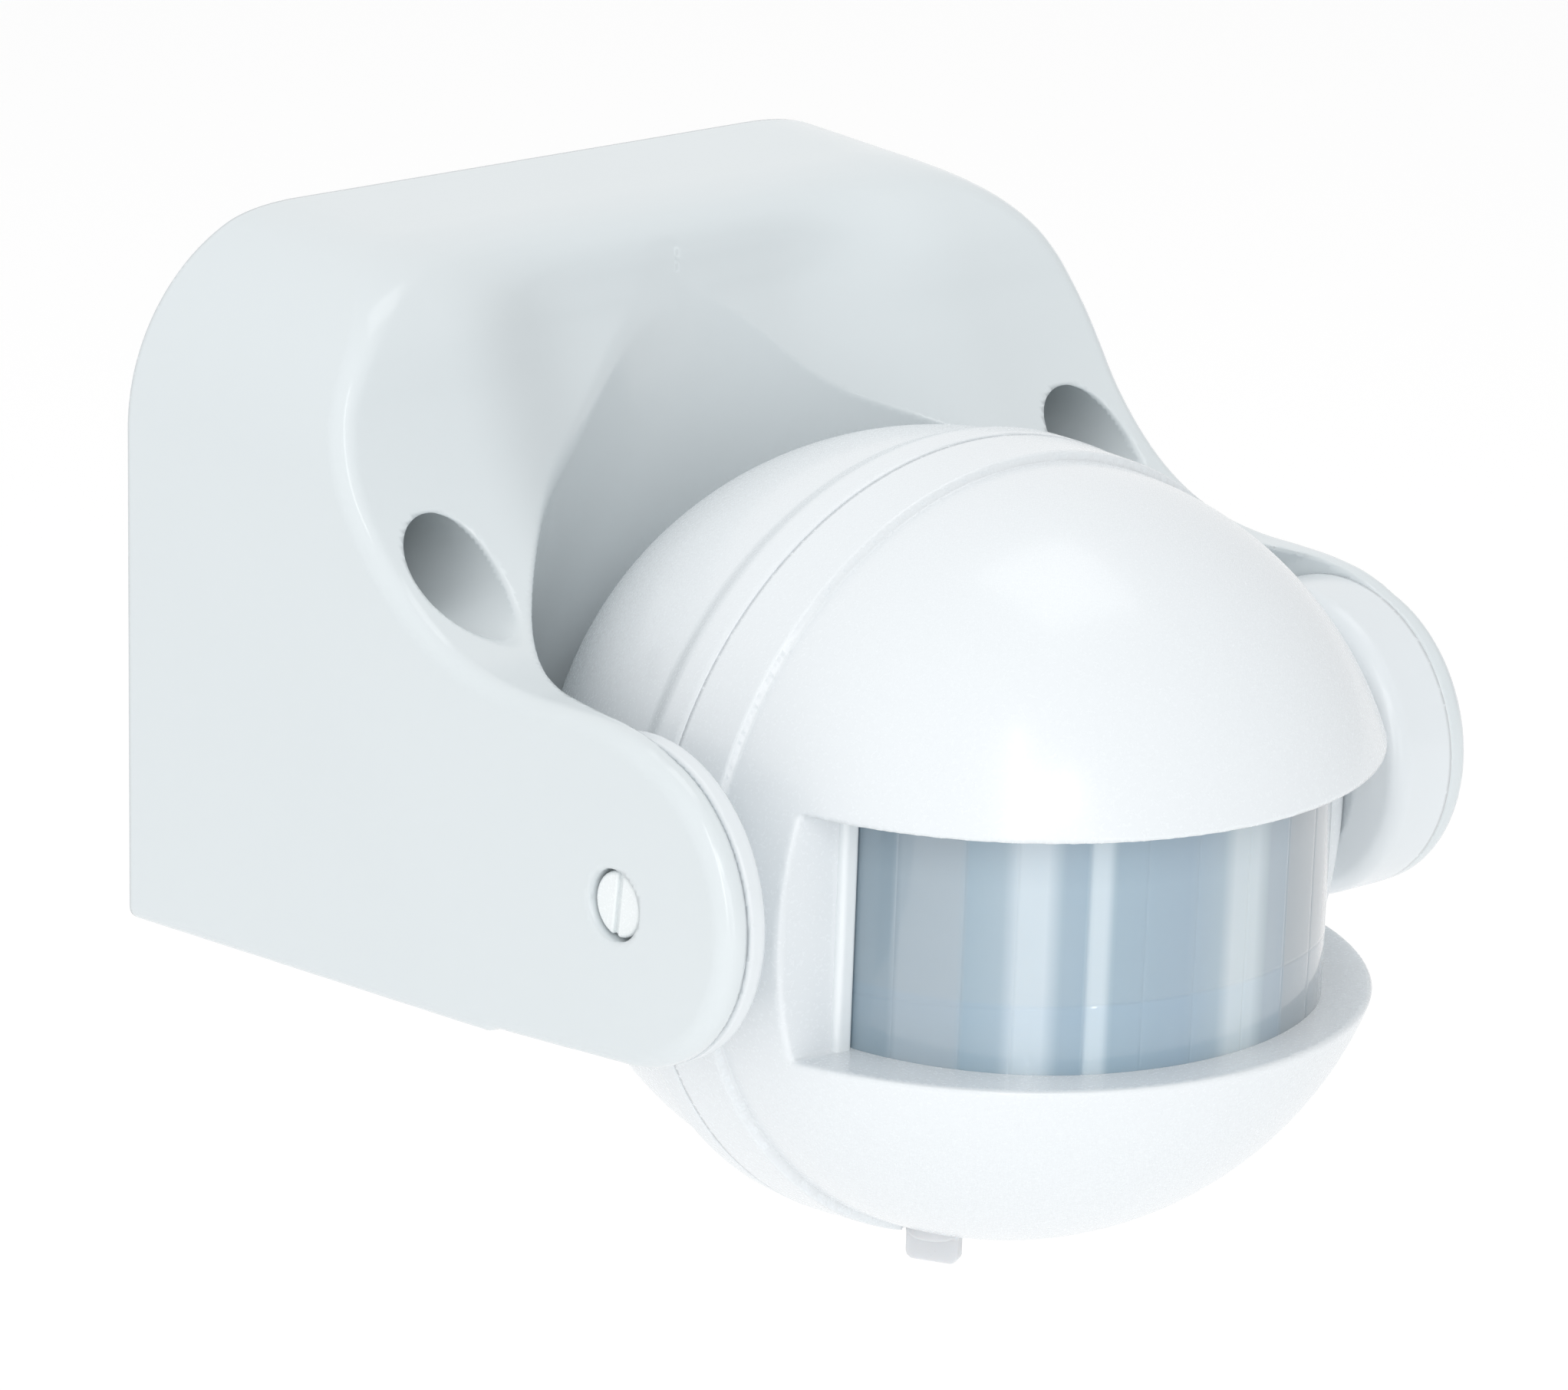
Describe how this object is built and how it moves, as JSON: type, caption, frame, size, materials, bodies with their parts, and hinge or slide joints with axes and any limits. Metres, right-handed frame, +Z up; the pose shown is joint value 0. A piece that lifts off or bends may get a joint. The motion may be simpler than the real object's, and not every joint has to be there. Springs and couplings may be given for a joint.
{
  "type": "motion sensor",
  "caption": "Wall-mounted infrared motion sensor: a hollow bracket holds a tilting ball-shaped head with a curved lens and two adjuster knobs.",
  "frame": {"origin": "centre of the flat back that rests on the wall, level with the middle of the wiring space", "axes": "+Z up, +Y into the wall, the sensor faces -Y, +X to its own left-to-right seen from the front"},
  "size_m": [0.088, 0.0966, 0.0836],
  "materials": {
    "bracket_housing": "white moulded plastic, satin sides, fine grain",
    "wall_plate": "white moulded plastic, satin",
    "plate_seal": "black closed-cell foam strip",
    "cable_grommet": "dark grey rubber",
    "terminal_block": "off-white polyamide",
    "terminal_clamps": "machined brass",
    "terminal_screws": "zinc-plated steel",
    "terminal_fixing_screws": "zinc-plated steel",
    "cable_strap": "white polyamide",
    "cable_strap_screws": "zinc-plated steel",
    "housing_screws": "zinc-plated steel pan heads",
    "pivot_screw_left": "white nylon, slotted",
    "pivot_screw_right": "white nylon, slotted",
    "head_front_shell": "white moulded plastic with a fine spark-eroded grain",
    "head_rear_shell": "white moulded plastic with a fine spark-eroded grain",
    "head_screws": "zinc-plated steel",
    "shell_seal": "black silicone ring",
    "trunnion_left": "white moulded plastic, satin",
    "trunnion_right": "white moulded plastic, satin",
    "pivot_nuts": "zinc-plated steel",
    "fresnel_lens": "milky blue-white polyethylene with moulded facets",
    "lens_frame": "polished white plastic",
    "main_board": "green lacquered circuit board",
    "pir_sensor": "nickel-plated metal can",
    "sensor_shade": "black plastic",
    "relay": "blue plastic relay case",
    "film_capacitor": "red film capacitor case",
    "electrolytic_capacitors": "black sleeved cans",
    "driver_chip": "black epoxy",
    "resistors": "tan lacquer",
    "status_led": "red diffused lens",
    "light_cell": "lacquered light-dependent resistor",
    "time_potentiometer": "blue-grey moulded body",
    "lux_potentiometer": "blue-grey moulded body",
    "time_knob": "frosted translucent plastic, slotted",
    "lux_knob": "frosted translucent plastic, slotted",
    "board_screws": "zinc-plated steel"
  },
  "bodies": {
    "bracket": {"bracket_housing": "bracket_housing", "wall_plate": "wall_plate", "plate_seal": "plate_seal", "cable_grommet": "cable_grommet", "terminal_block": "terminal_block", "terminal_clamps": "terminal_clamps", "terminal_screws": "terminal_screws", "terminal_fixing_screws": "terminal_fixing_screws", "cable_strap": "cable_strap", "cable_strap_screws": "cable_strap_screws", "housing_screws": "housing_screws", "pivot_screw_left": "pivot_screw_left", "pivot_screw_right": "pivot_screw_right"},
    "head": {"head_front_shell": "head_front_shell", "head_rear_shell": "head_rear_shell", "head_screws": "head_screws", "shell_seal": "shell_seal", "trunnion_left": "trunnion_left", "trunnion_right": "trunnion_right", "pivot_nuts": "pivot_nuts", "fresnel_lens": "fresnel_lens", "lens_frame": "lens_frame", "main_board": "main_board", "pir_sensor": "pir_sensor", "sensor_shade": "sensor_shade", "relay": "relay", "film_capacitor": "film_capacitor", "electrolytic_capacitors": "electrolytic_capacitors", "driver_chip": "driver_chip", "resistors": "resistors", "status_led": "status_led", "light_cell": "light_cell", "time_potentiometer": "time_potentiometer", "lux_potentiometer": "lux_potentiometer", "board_screws": "board_screws"},
    "time_knob": {"time_knob": "time_knob"},
    "lux_knob": {"lux_knob": "lux_knob"}
  },
  "joints": [
    {"name": "head_tilt", "type": "hinge", "parent": "bracket", "child": "head", "pos_m": [0, -0.064, -0.0128], "axis": [1, 0, 0], "range_deg": [-30, 45]},
    {"name": "time_turn", "type": "hinge", "parent": "head", "child": "time_knob", "pos_m": [-0.0073, -0.06492, -0.04663], "axis": [0, -0.0244, 0.9997], "range_deg": [-135, 135]},
    {"name": "lux_turn", "type": "hinge", "parent": "head", "child": "lux_knob", "pos_m": [0.0073, -0.06492, -0.04663], "axis": [0, -0.0244, 0.9997], "range_deg": [-135, 135]}
  ]
}
